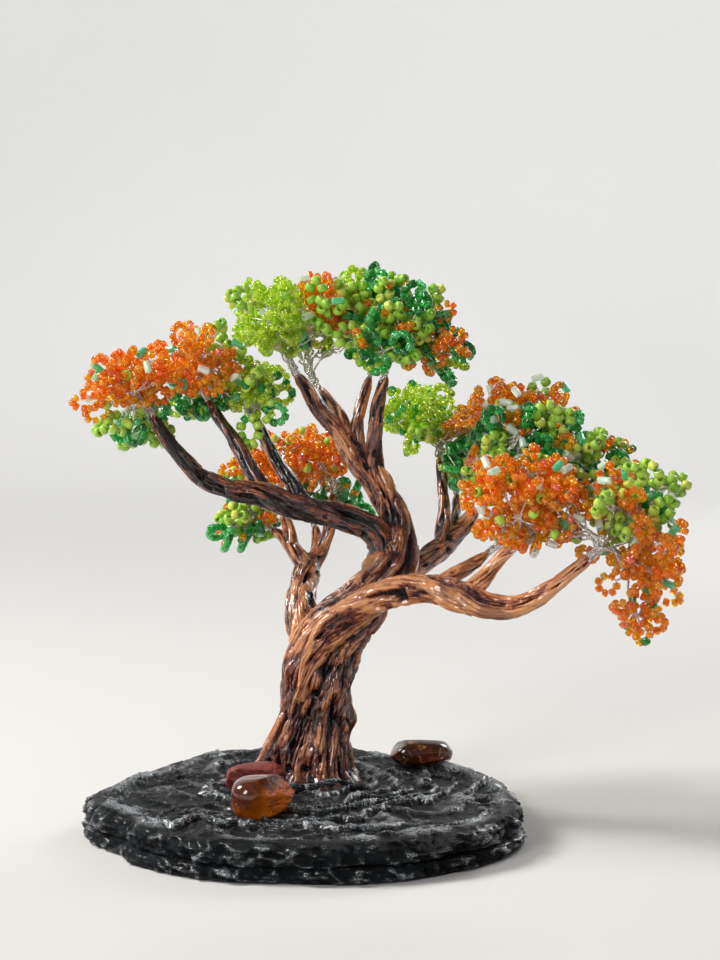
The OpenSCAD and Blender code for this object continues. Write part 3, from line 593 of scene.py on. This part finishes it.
def amberStone(node, look):
    low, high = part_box(node)
    centre, half = np.array((low + high) / 2) / mm, np.array((high - low) / 2) / mm
    floor = centre[2] - half[2]
    half = half * look["grow"]
    rows, around = amber["rows"], amber["around"]
    edge, flat = amber["edge"], amber["flat"]
    lat = np.linspace(-math.pi / 2, math.pi / 2, rows)[:, None]
    lon = bearings(around)[None, :]
    way = np.stack([np.cos(lat) * np.cos(lon), np.cos(lat) * np.sin(lon), np.sin(lat) + 0 * lon], -1)
    rng = np.random.default_rng(look["seed"])
    radius = (np.abs(way) ** look["power"]).sum(-1) ** (-1 / look["power"])
    normals = unit(rng.normal(size=(look["cuts"], 3)))
    if abs(look["split"]) < 1:  # only the rough half is broken
        normals[:, 0] = np.abs(normals[:, 0]) + 0.25
        normals = unit(normals)
    for normal, far in zip(normals, rng.uniform(0.66, 0.94, look["cuts"])):
        face = far / np.maximum(way @ normal, 0.05)  # a broken face, eased at its edges
        radius = -np.log(np.exp(-edge * radius) + np.exp(-edge * face)) / edge
    turn = lon / math.tau + 0 * lat
    skin = held((way[..., 0] - look["split"]) * 4 + 0.5)
    wave = streak(turn, lat * 2.4 + 9, 7, look["seed"]) - 0.5
    lump = streak(turn, lat * 6 + 9, 16, look["seed"] + 2) - 0.5
    chip = ridged(streak(turn, lat * 13 + 9, 34, look["seed"] + 1)) - 0.5
    fade = np.cos(lat)
    radius = radius * (1 + 0.1 * wave * fade) + skin * (0.08 * lump + 0.05 * chip) * fade
    shape = way * radius[..., None]
    shape = shape / np.abs(shape).max((0, 1)) * half
    shape[..., 2] = np.maximum(shape[..., 2], -flat * half[2])
    verts = (shape + [centre[0], centre[1], floor + flat * half[2] - amber["sink"]]).reshape(-1, 3)
    # the glow share rises along each stone's lean, mostly downward: painted light shining through the
    # amber, partly the amber's own orange
    glow = held(look["start"] + shape / half @ np.array(look["lean"]) + 0.5 * wave)
    piece = addPiece(look["piece"], verts * mm, gridFaces(rows, around), amberFinish(look),
                     {"skin": skin.ravel(), "low": glow.ravel()})
    weldPoles(piece)
    standFor(piece, look["slot"], node)


for node, look in amberLooks.items():
    amberStone(node, look)
print("amber pebbles modelled")

# bead crowns, read from the frame and then filled out

beadKinds = {  # radius and length, squareness of the section, share of long cut beads, and the glass
    "orange": {
        "size": (1.1, 1.6), "square": 0.75, "cut": 0, "clear": 0.78, "rough": 0.03,
        "deep": (1, 0.27, 0.001), "bright": (1, 0.62, 0.006), "lampTint": (1, 0.54, 0.03),
        "stray": (1, 0.36, 0.24), "strays": 0.03},
    "olive": {
        "size": (1.05, 1.5), "square": 0.75, "cut": 0.15, "clear": 0.8, "rough": 0.03,
        "deep": (0.54, 0.76, 0.02), "bright": (0.86, 1, 0.14), "lampTint": (0.84, 0.95, 0.3),
        "stray": (0.92, 0.66, 0.66), "strays": 0.02},
    "lime": {
        "size": (1.4, 2.1), "square": 0.8, "cut": 0, "clear": 0, "rough": 0.12,
        "deep": (0.25, 0.52, 0.03), "bright": (0.48, 0.74, 0.09), "lampTint": None,
        "stray": (0.70, 0.78, 0.12), "strays": 0.14},
    "emerald": {
        "size": (1.1, 1.7), "square": 0.4, "cut": 0.35, "clear": 0.7, "rough": 0.04,
        "deep": (0.008, 0.24, 0.036), "bright": (0.06, 0.60, 0.12), "lampTint": (0.34, 0.8, 0.34),
        "stray": (0.18, 0.72, 0.28), "strays": 0.3},
    "tube": {
        "size": (1, 3.2), "square": 0.22, "cut": 0, "clear": 0.5, "rough": 0.05,
        "deep": (0.78, 0.96, 0.84), "bright": (1, 1, 0.95), "lampTint": (0.9, 1, 0.94),
        "stray": (0.20, 0.74, 0.42), "strays": 0.25}}
bead = {"hole": 0.42, "segments": 12, "section": 8, "wobble": 0.07, "cutLength": 1.4, "ior": 1.5,
        "shine": 0.5, "coat": 0.3, "coatRough": 0.03}
crownKinds = {"top": [*beadKinds], "left": [*beadKinds],
              "right": ["orange", "lime", "emerald", "tube"],
              "rear_right": ["orange", "olive", "lime", "emerald"],
              "rear_left": ["orange", "lime", "emerald"]}
# pads of loops: crown, middle, half sizes, main, second and accent kind, loops to add
pads = [
    ("top", (-8.4, 4, 138), (9, 11, 10), "olive", "olive", "tube", 44),
    ("top", (5, 8, 141), (9, 9, 8), "orange", "lime", "tube", 30),
    ("top", (18.5, 15, 140.5), (11, 11, 10.5), "lime", "emerald", "orange", 40),
    ("top", (29, 10, 137), (10, 11, 10), "lime", "emerald", "orange", 36),
    ("top", (37, 7, 131), (6.5, 7, 8), "orange", "emerald", "lime", 18),
    ("top", (2, 27, 137), (12, 7, 8), "olive", "emerald", "lime", 26),
    ("top", (21, 0, 131), (9, 7, 6), "lime", "emerald", "olive", 20),
    ("left", (-46.5, -2, 121.5), (12, 8, 6.5), "orange", "orange", "tube", 34),
    ("left", (-44, 7, 110.5), (8, 8, 6), "lime", "emerald", "tube", 20),
    ("left", (-28, 7, 125.5), (12, 10, 8), "orange", "lime", "tube", 40),
    ("left", (-30, 19, 116), (8, 7, 6), "lime", "emerald", "olive", 20),
    ("left", (-14.5, 14, 119), (8.5, 9, 8), "olive", "lime", "emerald", 30),
    ("right", (59, 10, 113), (15, 9, 7.5), "orange", "lime", "tube", 44),
    ("right", (61, -2, 104), (17, 10, 9.5), "lime", "emerald", "tube", 56),
    ("right", (58.5, -21, 91.5), (16, 10, 12), "orange", "orange", "tube", 70),
    ("right", (85, -16, 90), (11.5, 11, 9.5), "lime", "orange", "tube", 44),
    ("right", (89.5, -26, 78), (8.5, 9, 9), "orange", "orange", "tube", 36),
    ("right", (77, 6, 98), (13, 9, 9), "lime", "emerald", "orange", 36),
    ("rear_right", (32.7, 44, 110), (10, 9, 8.5), "olive", "lime", "emerald", 36),
    ("rear_right", (45.5, 38, 97), (7, 8, 9), "emerald", "lime", "olive", 22),
    ("rear_right", (51, 42, 107), (12, 9, 7.5), "orange", "lime", "olive", 30),
    ("rear_left", (-1, 47, 97), (14, 9, 8), "orange", "orange", "lime", 44),
    ("rear_left", (-18.5, 43, 79), (8.5, 8, 6.5), "lime", "emerald", "orange", 24),
    ("rear_left", (9, 47, 84), (7.5, 6, 5.5), "emerald", "lime", "orange", 18),
    ("rear_left", (-16, 48, 93), (8, 7, 6), "orange", "emerald", "lime", 18)]


def glassBead(kind, look):
    s = Shader(kind + "Glass")
    tint, odd = s.value("tint"), s.value("odd")
    swirl = s.noise(0.9 * mm, 2)
    glass = s.mix((tint + (swirl - 0.5) * 0.5).clamp(), look["deep"], look["bright"])
    colour = s.mix(s.band(odd, 0.99 - look["strays"], 1 - look["strays"]), glass, look["stray"])
    return s.finish(
        look["lampTint"], Base_Color=colour, Roughness=(look["rough"] + (swirl - 0.5) * 0.08).clamp(),
        Transmission_Weight=look["clear"], IOR=bead["ior"], Specular_IOR_Level=bead["shine"],
        Coat_Weight=bead["coat"], Coat_Roughness=bead["coatRough"], Normal=s.bump(swirl, 0.12, 0.1 * mm))


def brightWire():
    s = Shader("brightWire")
    scuff = s.noise(0.6 * mm, 3)
    return s.finish(
        Base_Color=s.mix(scuff, wire["dull"], wire["bright"]), Metallic=1.0,
        Roughness=(0.14 + scuff * 0.2).clamp(), Normal=s.bump(scuff, 0.1, 0.05 * mm))


def islandsOf(name):
    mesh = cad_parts[name].data
    points = nodePoints(name)
    _, first, home = np.unique(np.round(points * 2000).astype(np.int64), axis=0,
                               return_index=True, return_inverse=True)
    ends = np.empty(len(mesh.edges) * 2, np.int32)
    mesh.edges.foreach_get("vertices", ends)
    a, b = home.ravel()[ends.reshape(-1, 2)].T
    label, spots = np.arange(len(first)), points[first]
    while True:
        low = np.minimum(label[a], label[b])
        new = label.copy()
        np.minimum.at(new, a, low)
        np.minimum.at(new, b, low)
        new = new[new]
        if (new == label).all():
            return [spots[label == k] for k in np.unique(label)]
        label = new


def readWires(limb):  # hubs where stems meet, and the rings of the loops
    hubs, rings = [], []
    for island in islandsOf(limb + "_sprig_wires"):
        middle = island.mean(0)
        off = island - middle
        far = norms(off)
        spread, ways = np.linalg.eigh(off.T @ off / len(off))
        if far.mean() > 0.6 and spread[0] > 0.5 * spread[2]:
            if far.mean() < 1.0:  # the larger balls are the knots at the tips
                hubs.append(middle)
        elif spread[0] < 0.05 * spread[1]:
            rings.append((middle, far.mean(), ways[:, 0]))
    return np.array(hubs), rings


def readBeads(limb, rings):
    spots, sizes, axes = (np.array(column) for column in zip(*rings))
    found = {}
    for kind in crownKinds[limb]:
        rows = []
        for island in islandsOf(f"{limb}_{kind}_beads"):
            middle = island.mean(0)
            if kind == "tube":
                way = np.linalg.eigh((island - middle).T @ (island - middle))[1][:, 2]
            else:
                off = middle - spots
                rise = (off * axes).sum(1)
                flat = off - rise[:, None] * axes
                k = np.argmin(np.hypot(rise, norms(flat) - sizes))
                way = unit(np.cross(axes[k], flat[k]))
            rows.append(np.append(middle, way))
        found[kind] = np.array(rows)
    return found


def beadForm(kind):
    look = beadKinds[kind]
    radius, length = look["size"]
    t = bearings(bead["section"]) + math.pi / bead["section"]
    c, s = np.cos(t), np.sin(t)
    hole = bead["hole"]
    out = (radius + hole) / 2 + (radius - hole) / 2 * np.sign(c) * np.abs(c) ** look["square"]
    rise = length / 2 * np.sign(s) * np.abs(s) ** look["square"]
    a = bearings(bead["segments"])[:, None]
    verts = np.stack([out * np.cos(a), out * np.sin(a), rise + 0 * a], -1).reshape(-1, 3)
    i, j = np.meshgrid(np.arange(bead["segments"]), np.arange(bead["section"]), indexing="ij")
    k, l = (i + 1) % bead["segments"], (j + 1) % bead["section"]
    w = bead["section"]
    return verts, np.stack([i * w + j, k * w + j, k * w + l, i * w + l], -1).reshape(-1, 4)


def beadPiece(name, kind, beads, seed):
    form, quads = beadForm(kind)
    rng = np.random.default_rng(seed)
    count = len(beads)
    middle, axis = beads[:, :3], unit(beads[:, 3:6] + bead["wobble"] * rng.normal(size=(count, 3)))
    side = unit(np.cross(axis, rng.normal(size=(count, 3))))
    up = np.cross(axis, side)
    wide, long = rng.uniform(0.94, 1.05, count), rng.uniform(0.9, 1.06, count)
    long = np.where(rng.random(count) < beadKinds[kind]["cut"], bead["cutLength"] * long, long)
    around = form[None, :, :1] * side[:, None] + form[None, :, 1:2] * up[:, None]
    verts = (middle[:, None] + wide[:, None, None] * around
             + long[:, None, None] * form[None, :, 2:] * axis[:, None])
    faces = (quads[None] + (np.arange(count) * len(form))[:, None, None]).reshape(-1, 4)
    values = {key: np.repeat(rng.random(count), len(form)) for key in ("tint", "odd")}
    return addPiece(name, verts.reshape(-1, 3) * mm, faces, glassFinish[kind], values)


# wire

wire = {"steps": 4.8, "sides": 5, "ring": 0.2, "kink": 0.3, "fan": 9, "hoopSteps": 25,
        "ringStem": (0.16, 1.2), "loopStem": (0.16, 1.4), "dull": (0.60, 0.58, 0.55),
        "bright": (0.93, 0.91, 0.87)}
# stems from a tip: slack, reach and lean of the bend, two starts by distance and slack, strand and pitch
stemKinds = {"main": (0.5, 0.35, 0.6, ((-3, 0.25), (0.8, 0.3)), (0.21, 1.8)),
             "fan": (0.4, 0.4, 0.5, ((-2, 0.3), (0.7, 1.0)), (0.17, 1.5))}


class WireHeap:
    def __init__(self):
        self.verts, self.faces, self.count = [], [], 0

    def sweep(self, centre, side, up, radius, sides):
        a = bearings(sides)[None, :, None]
        ring = centre[:, None] + radius * (np.cos(a) * side[:, None] + np.sin(a) * up[:, None])
        rows = len(centre)
        self.verts.append(ring.reshape(-1, 3))
        self.faces += gridFaces(rows, sides, self.count).tolist()
        self.faces.append([self.count + j for j in reversed(range(sides))])
        self.faces.append([self.count + (rows - 1) * sides + j for j in range(sides)])
        self.count += rows * sides

    def twist(self, points, strand, pitch):  # two strands wound round each other
        path, run = smoothRoute(points, pitch / wire["steps"])
        _, side, up = framesAlong(path, unit(np.cross(path[-1] - path[0], [0.31, 0.22, 0.92])))
        for start in (0, math.pi):
            turn = (math.tau * run / pitch + start)[:, None]
            self.sweep(path + strand * 1.03 * (np.cos(turn) * side + np.sin(turn) * up), side, up,
                       strand, wire["sides"])

    def crinkle(self, points, rng, strand, pitch):  # a stem with small kinks
        path = smoothRoute(points, 1.5)[0]
        kink = wire["kink"] * rng.normal(size=path.shape)
        kink[0] = kink[-1] = 0
        self.twist(path + kink, strand, pitch)

    def hoop(self, middle, radius, axis):
        a = np.linspace(0, math.tau, wire["hoopSteps"])[:, None]
        x = unit(np.cross(axis, [0.3, 0.8, 0.52]))
        y = np.cross(axis, x)
        out = np.cos(a) * x + np.sin(a) * y
        up = np.repeat(axis[None], len(out), 0)
        self.sweep(middle + radius * out, out, up, wire["ring"], 4)

    def piece(self, name):
        return addPiece(name, np.vstack(self.verts) * mm, self.faces, wireFinish)


def tipOf(route):
    a, b = np.array(route, float)[-2:, :3]
    return b, unit(b - a)


def barkLine():
    routes = [way for limb, route in limbRoutes.items() for way in [route] + twigRoutes[limb]]
    return np.vstack([smoothRoute(way, 1.0)[0] for way in routes])


# sprigs that stand out from the crowns: crown, kind, accent, foot, direction, beads and stretch
sprigs = [
    ("top", "orange", "orange", (35.5, 6, 133), (1, -0.1, 0.05), 9, 1.5),
    ("top", "orange", "lime", (31, 5, 129.5), (0.85, -0.2, -0.45), 9, 1.4),
    ("top", "orange", "orange", (36, 7, 138), (0.8, 0, 0.6), 7, 1.2),
    ("left", "orange", "orange", (-53, -3, 116), (-1, 0, -0.05), 9, 1.5),
    ("left", "orange", "lime", (-51.5, -1, 114), (-0.9, -0.3, -0.3), 8, 1.3),
    ("left", "emerald", "lime", (-45, -2, 110.5), (0.15, -0.2, -1), 8, 1.1),
    ("left", "lime", "emerald", (-15, 9, 111), (0.1, -0.3, -1), 8, 1.2),
    ("left", "emerald", "lime", (-10.5, 9, 112), (1, -0.3, 0), 8, 1.1),
    ("right", "orange", "emerald", (85, -27, 67.5), (0.75, -0.2, -0.65), 10, 1.5),
    ("right", "orange", "tube", (88.5, -25, 69.5), (0.92, -0.1, -0.35), 10, 1.5),
    ("right", "orange", "orange", (82.5, -28, 63), (0.6, -0.1, -0.8), 8, 1.3)]


# tries, limits on the draw of a kind, share of loops with an accent, distances, and bead radii for gaps
loopLook = {"tries": 2600, "main": 0.66, "any": 0.9, "accent": 0.5, "foot": 2.6,
            "reach": 9, "barkGap": 0.2,
            "girth": {"orange": 0.9, "olive": 0.86, "lime": 1.16, "emerald": 0.94, "tube": 1.25}}


def loopAt(names, foot, out, wide, stretch):  # beads round a loop that stands on its foot
    lengths, radii = np.array([beadKinds[k]["size"] for k in names])[:, ::-1].T
    room = lengths * 0.82 + 6.3 * radii * 0.62 / len(names)
    girth = room.sum() + 0.7
    radius = girth / math.tau
    turn = (np.cumsum(room) - room / 2 + 0.35) / girth * math.tau
    c, s = np.cos(turn)[:, None], np.sin(turn)[:, None]
    middle = foot + radius * stretch * out
    places = middle - radius * stretch * c * out + radius / stretch * s * wide
    return places, unit(stretch * s * out + c * wide / stretch)


def growLoops(order, pad, taken, spine):
    limb, middle, half, main, second, accent, wanted = pad
    rng = np.random.default_rng(700 + order)
    middle, half = np.array([middle, half], float)

    def nearby(spots):
        return spots[np.all(np.abs(spots[:, :3] - middle) < half + loopLook["reach"], axis=1)]

    def touches(places, girths, spots, gap):
        apart = norms(places[:, None] - spots[None, :, :3])
        return len(spots) and (apart - girths[:, None] - spots[None, :, 3]).min() < gap

    here, clay = nearby(taken), nearby(spine)
    root = middle - [0, 0, 0.7 * half[2]]
    loops = []
    for _ in range(loopLook["tries"]):
        if len(loops) >= wanted:
            break
        way = unit(rng.normal(size=3))
        spot = middle + way * half * (0.25 + 0.75 * rng.random() ** 0.6)
        out = unit(unit(spot - root) + 0.55 * rng.normal(size=3))
        wide = unit(np.cross(out, rng.normal(size=3)))
        draw = rng.random()
        kind = main if draw < loopLook["main"] else second
        if draw > loopLook["any"] and main != second:
            kind = str(rng.choice(crownKinds[limb][:-1]))
        count = int(rng.integers(6, 9) - (kind == "lime"))
        names = [kind] * count
        if rng.random() < loopLook["accent"]:
            names[int(rng.integers(1, count - 1))] = accent
        foot = spot - loopLook["foot"] * out
        places, ways = loopAt(names, foot, out, wide, rng.uniform(0.9, 1.3))
        girths = np.array([loopLook["girth"][k] for k in names])
        if touches(places, girths, here, 0) or touches(places, girths, clay, loopLook["barkGap"]):
            continue
        loops.append((names, places, ways, foot, out))
        here = np.vstack([here, np.column_stack([places, girths])])
    return loops


glassFinish = {kind: glassBead(kind, look) for kind, look in beadKinds.items()}
wireFinish = brightWire()
crowns = {}
for limb in crownKinds:
    hubs, rings = readWires(limb)
    crowns[limb] = {"hubs": hubs, "rings": rings, "beads": readBeads(limb, rings), "more": {}, "loops": []}
taken = np.vstack([np.column_stack([rows[:, :3], np.full(len(rows), loopLook["girth"][kind])])
                   for crown in crowns.values() for kind, rows in crown["beads"].items()])
print("beads read from the frame:", len(taken))
spine = barkLine()


def addLoop(taken, limb, names, places, ways, foot, out):
    for kind, place, way in zip(names, places, ways):
        crowns[limb]["more"].setdefault(kind, []).append(np.append(place, way))
    crowns[limb]["loops"].append((foot, out))
    return np.vstack([taken, np.column_stack([places, [loopLook["girth"][k] for k in names]])])


for limb, kind, accent, foot, out, count, stretch in sprigs:
    out, foot = unit(np.array(out, float)), np.array(foot, float)
    names = [kind] * (count - 1) + [accent]
    wide = unit(np.cross(out, [0.2, 1, 0.15]))
    taken = addLoop(taken, limb, names, *loopAt(names, foot, out, wide, stretch), foot, out)
for order, pad in enumerate(pads):
    for loop in growLoops(order, pad, taken, spine):
        taken = addLoop(taken, pad[0], *loop)
print("beads with the added loops:", len(taken))


def dressBeads(number, limb, crown):
    seed = 50 * number
    for kind, rows in crown["beads"].items():
        piece = beadPiece(f"{limb}{kind.title()}Beads", kind, rows, seed + len(kind))
        standFor(piece, kind + "_beads", f"{limb}_{kind}_beads")
    for kind, rows in crown["more"].items():
        piece = beadPiece(f"{limb}{kind.title()}FillBeads", kind, np.array(rows), seed + len(kind) + 25)
        standFor(piece, kind + "_beads")


def nearest(spots, place):
    return int(np.argmin(norms(spots - place)))


def tipStem(heap, rng, tip, way, end, kind):
    slack, reach, lean, starts, strand = stemKinds[kind]
    loose = slack * rng.normal(size=3)
    bend = tip + reach * np.linalg.norm(end - tip) * unit(way + lean * unit(end - tip)) + loose
    path = [tip + far * way + share * loose for far, share in starts]
    heap.crinkle([*path, bend, end], rng, *strand)


def dressWires(number, limb, crown):
    heap = WireHeap()
    rng = np.random.default_rng(90 + number)
    tips = [tipOf(route) for route in [limbRoutes[limb]] + twigRoutes[limb]]
    ends = np.array([tip for tip, way in tips])
    hubs = crown["hubs"]
    for hub in hubs:  # main stems come out of a tip's clay in a bundle
        tip, way = tips[nearest(ends, hub)]
        tipStem(heap, rng, tip, way, hub, "main")
    feet = np.array([foot for foot, out in crown["loops"]])
    for tip, way in tips:  # fans of strands that spread from each tip
        near = np.argsort(norms(feet - tip))[:2 * wire["fan"]:2]
        for foot in feet[near]:
            tipStem(heap, rng, tip, way, foot, "fan")
    for middle, radius, axis in crown["rings"]:  # each ring hangs on the hub that lies most in its plane
        heap.hoop(middle, radius, axis)
        way = hubs - middle
        far = norms(way)
        flat = np.abs((way / far[:, None]) @ axis) + 0.05 * far
        hub = hubs[int(np.argmin(flat))]
        heap.twist([hub, middle + radius * unit(hub - middle)], *wire["ringStem"])
    for foot, out in crown["loops"]:
        hub = hubs[nearest(hubs, foot)]
        heap.twist([hub, (hub + foot) / 2 - 0.5 * out, foot], *wire["loopStem"])
    standFor(heap.piece(limb + "SprigWires"), "sprig_wire", limb + "_sprig_wires")
    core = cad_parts[limb + "_core_wires"].data
    core.materials.clear()
    core.materials.append(wireFinish)


for number, (limb, crown) in enumerate(crowns.items()):
    dressBeads(number, limb, crown)
    dressWires(number, limb, crown)
print("crowns modelled")

# stage

stage = {"floor": (0.80, 0.79, 0.77), "backdrop": (0.50, 0.50, 0.49), "world": (0.86, 0.88, 0.92),
         "worldLight": 0.2, "near": -1.6, "bendFrom": 0.9, "bend": 0.5, "top": 2.6, "wide": 2.6,
         "glowFrom": 0.3, "glowTo": 1.4, "rough": 0.7, "shine": 0.25}
lamps = {  # place, aim, size, watts, tone and spread in degrees
    "windowLamp": ((-0.95, 0.08, 0.85), (0, 0, 0.08), (0.34, 0.46), 7, (1, 0.98, 0.95), 120),
    "frontLamp": ((-0.5, -0.7, 0.4), (0, 0, 0.08), (0.16, 0.5), 3, (1, 0.99, 0.97), 180),
    "rimLamp": ((0.55, 0.6, 0.55), (0, 0, 0.09), (0.3, 0.4), 2.9, (1, 1, 1), 180)}


def paleFloor():
    s = Shader("paleFloor")
    cloud = s.noise(0.25, 3)
    grain = s.noise(2 * mm, 3)
    seen = sum((s.node("ShaderNodeLightPath", out=f"Is {ray} Ray") for ray in ("Glossy", "Transmission")),
               s.node("ShaderNodeLightPath", out="Is Camera Ray")).clamp()
    far = s.node("ShaderNodeVectorMath", {"operation": "LENGTH"}, {0: s.place()}, out="Value")
    away = s.band(far, stage["glowFrom"], stage["glowTo"])  # the distance is pale to the eye only
    return s.finish(
        Base_Color=s.mix(cloud, tuple(0.96 * c for c in stage["floor"]), stage["floor"]),
        Emission_Color=s.mix(seen * away, (0, 0, 0), stage["backdrop"]), Emission_Strength=1.0,
        Roughness=(stage["rough"] + (grain - 0.5) * 0.1).clamp(),
        Specular_IOR_Level=stage["shine"], Normal=s.bump(grain, 0.04, 0.1 * mm))


def sweepFloor():  # floor that curves up into a backdrop
    start, bend, wide = stage["bendFrom"], stage["bend"], stage["wide"]
    side = [(stage["near"], 0.0), (start, 0.0)]
    for a in np.linspace(0.1, math.pi / 2, 16):
        side.append((start + bend * math.sin(a), bend - bend * math.cos(a)))
    side.append((start + bend, stage["top"]))
    verts = [(x, y, z) for y, z in side for x in (-wide, wide)]
    faces = [[2 * i, 2 * i + 1, 2 * i + 3, 2 * i + 2] for i in range(len(side) - 1)]
    floor = addPiece("floor", verts, faces, paleFloor())


def softLamp(name, place, aim, size, watts, tone, spread):
    lamp = bpy.data.lights.new(name, "AREA")
    lamp.shape, lamp.size, lamp.size_y = "RECTANGLE", size[0], size[1]
    lamp.energy, lamp.color, lamp.spread = watts, tone, math.radians(spread)
    made = addObject(name, lamp)
    made.location = place
    made.rotation_euler = (Vector(aim) - Vector(place)).to_track_quat("-Z", "Y").to_euler()


def softRoom():  # a dim light all round, seen as pale as the floor
    s = Shader("softRoom", bpy.data.worlds)
    light = s.node("ShaderNodeBackground", {}, {
        "Color": (*stage["world"], 1), "Strength": stage["worldLight"]})
    pale = s.node("ShaderNodeBackground", {}, {"Color": (*stage["floor"], 1)})
    seen = s.node("ShaderNodeLightPath", out="Is Camera Ray")
    room = s.node("ShaderNodeMixShader", {}, {0: seen, 1: light, 2: pale})
    s.node("ShaderNodeOutputWorld", {}, {"Surface": room})
    return s.owner


sweepFloor()
for name, setting in lamps.items():
    softLamp(name, *setting)
bpy.context.scene.world = softRoom()
bpy.context.scene.view_settings.view_transform = "Standard"

view = {"place": (15.3, -512.5, 139.6), "downTilt": 5, "lens": 72, "sensor": 36}
camera = bpy.data.cameras.new("photoCamera")
camera.lens, camera.sensor_width = view["lens"], view["sensor"]
shot = addObject("photoCamera", camera)
shot.location = Vector(view["place"]) * mm
shot.rotation_euler = (math.radians(90 - view["downTilt"]), 0, 0)
bpy.context.scene.camera = shot
